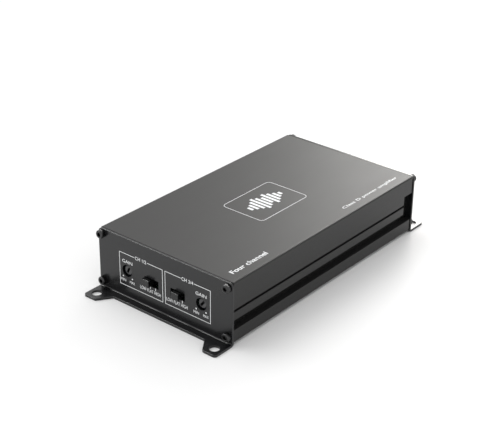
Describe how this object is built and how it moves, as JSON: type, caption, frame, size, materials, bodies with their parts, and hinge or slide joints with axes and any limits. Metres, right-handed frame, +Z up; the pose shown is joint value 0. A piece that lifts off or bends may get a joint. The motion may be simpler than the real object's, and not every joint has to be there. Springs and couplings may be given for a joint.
{
  "type": "car amplifier",
  "caption": "Compact in-vehicle power amplifier: finned aluminium housing with bent end plates, mounting ears, level controls, filter slide switches and rear connectors.",
  "frame": {"origin": "on the mounting plane, under the middle of the amplifier", "axes": "+X across the width, +Y along the length from the control plate to the connector plate, +Z up"},
  "size_m": [0.107, 0.218, 0.042],
  "materials": {
    "grey_satin_paint": "satin, warm grey",
    "anthracite_paint": "semi-gloss, anthracite",
    "black_screws": "black oxide",
    "grey_paint_sheet": "matt dark grey",
    "insulating_film": "fibrous, matt",
    "board_laminate": "green solder resist",
    "black_plastic": "moulded, matt black",
    "grey_knobs": "smooth, dark grey",
    "switch_steel": "bright plated steel",
    "pot_plastic": "moulded, dark blue",
    "nickel": "nickel plated brass",
    "white_plastic": "moulded white",
    "red_plastic": "moulded red",
    "tinned_brass": "tinned",
    "fuse_orange": "translucent orange",
    "light_lens": "clear green",
    "pad_silicone": "matt grey silicone",
    "capacitor_sleeve": "shrunk sleeve, dark",
    "film_capacitor_red": "dipped, glossy",
    "ferrite": "dull grey-black",
    "enamelled_copper": "enamelled copper wire"
  },
  "bodies": {
    "chassis": {"amplifier_chips": "black_plastic", "base_cover": "grey_paint_sheet", "board_link_header": "black_plastic", "clamp_bars": "switch_steel", "clamp_screws": "switch_steel", "control_board": "board_laminate", "film_capacitors": "film_capacitor_red", "filter_switch_body_left": "switch_steel", "filter_switch_body_right": "switch_steel", "front_plate": "anthracite_paint", "front_plate_screws": "black_screws", "fuse_blades": "tinned_brass", "fuse_body": "fuse_orange", "fuse_holder": "black_plastic", "housing": "grey_satin_paint", "input_capacitors": "capacitor_sleeve", "input_choke_core": "ferrite", "input_choke_winding": "enamelled_copper", "insulation_sheet": "insulating_film", "level_pot_body_left": "pot_plastic", "level_pot_body_right": "pot_plastic", "main_board": "board_laminate", "output_inductor_cores": "ferrite", "output_inductor_windings": "enamelled_copper", "power_light": "light_lens", "power_light_leads": "tinned_brass", "power_terminal_block": "black_plastic", "power_terminal_clamps": "nickel", "power_terminal_screws": "switch_steel", "power_transistors": "black_plastic", "rail_capacitors": "capacitor_sleeve", "rca_block": "black_plastic", "rca_contacts": "nickel", "rca_insulators_red": "red_plastic", "rca_insulators_white": "white_plastic", "rca_shells": "nickel", "rear_plate": "anthracite_paint", "rear_plate_screws": "black_screws", "signal_capacitors": "capacitor_sleeve", "signal_chips": "black_plastic", "speaker_pins": "tinned_brass", "speaker_socket": "black_plastic", "thermal_pads": "pad_silicone", "transformer_core": "ferrite", "transformer_windings": "enamelled_copper"},
    "level_left": {"level_pot_shaft_left": "grey_knobs"},
    "level_right": {"level_pot_shaft_right": "grey_knobs"},
    "filter_left": {"filter_switch_knob_left": "grey_knobs"},
    "filter_right": {"filter_switch_knob_right": "grey_knobs"}
  },
  "joints": [
    {"name": "level_left_turn", "type": "hinge", "parent": "chassis", "child": "level_left", "pos_m": [-0.0299, -0.09, 0.0197], "axis": [0, 1, 0], "range_deg": [-166, 114]},
    {"name": "level_right_turn", "type": "hinge", "parent": "chassis", "child": "level_right", "pos_m": [0.0299, -0.09, 0.0197], "axis": [0, 1, 0], "range_deg": [-177, 103]},
    {"name": "filter_left_slide", "type": "slide", "parent": "chassis", "child": "filter_left", "axis": [1, 0, 0], "range_m": [0, 0.0052]},
    {"name": "filter_right_slide", "type": "slide", "parent": "chassis", "child": "filter_right", "axis": [1, 0, 0], "range_m": [-0.0026, 0.0026]}
  ]
}
